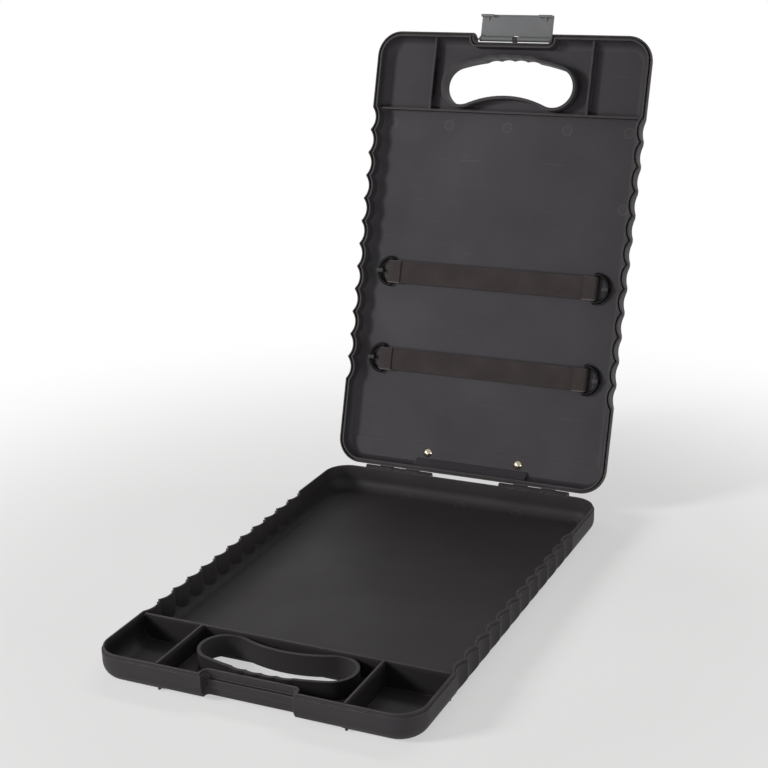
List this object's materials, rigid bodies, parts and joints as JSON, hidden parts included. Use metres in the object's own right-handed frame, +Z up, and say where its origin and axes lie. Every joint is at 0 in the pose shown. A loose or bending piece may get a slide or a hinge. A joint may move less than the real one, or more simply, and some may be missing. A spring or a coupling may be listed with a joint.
{
  "type": "storage clipboard box",
  "caption": "Flat hinged document box with a fluted wall, handle opening, latch, elastic straps inside the lid and a spring clip on its outer face.",
  "frame": {"origin": "centre of the tray's underside, where the box rests", "axes": "+X to the right seen from the handle end, +Y from the handle end to the hinge, +Z up out of the tray"},
  "size_m": [0.258, 0.5409, 0.4175],
  "materials": {
    "tray_plastic": "moulded polypropylene, satin",
    "lid_plastic": "moulded polypropylene, satin",
    "pin_steel": "drawn steel pin",
    "latch_plastic": "grey moulded plastic, satin",
    "webbing": "woven elastic webbing",
    "ring_steel": "black coated wire",
    "clip_chrome": "plated sheet steel",
    "spring_steel": "spring wire",
    "rivet_nickel": "nickel plated rivet"
  },
  "bodies": {
    "base": {"base_tray": "tray_plastic", "hinge_pin_left": "pin_steel", "hinge_pin_right": "pin_steel"},
    "lid": {"lid_shell": "lid_plastic", "latch_pin": "pin_steel", "strap_upper": "webbing", "strap_lower": "webbing", "ring_upper_left": "ring_steel", "ring_upper_right": "ring_steel", "ring_lower_left": "ring_steel", "ring_lower_right": "ring_steel", "clip_base": "clip_chrome", "clip_pin": "pin_steel", "clip_spring": "spring_steel", "clip_rivet_left": "rivet_nickel", "clip_rivet_right": "rivet_nickel"},
    "latch": {"latch": "latch_plastic"},
    "jaw": {"clip_jaw": "clip_chrome"}
  },
  "joints": [
    {"name": "lid_hinge", "type": "hinge", "parent": "base", "child": "lid", "pos_m": [0, 0.2022, 0.021], "axis": [1, 0, 0], "range_deg": [0, 108]},
    {"name": "latch_hinge", "type": "hinge", "parent": "lid", "child": "latch", "pos_m": [0, 0.33312, 0.3961], "axis": [1, 0, 0], "range_deg": [-104, 90]},
    {"name": "clip_hinge", "type": "hinge", "parent": "lid", "child": "jaw", "pos_m": [0, 0.23013, 0.04158], "axis": [-1, 0, 0], "range_deg": [0, 20], "stiffness_Nm_per_rad": 0.2, "springref_deg": -68.75, "deforming": ["clip_spring"]}
  ]
}
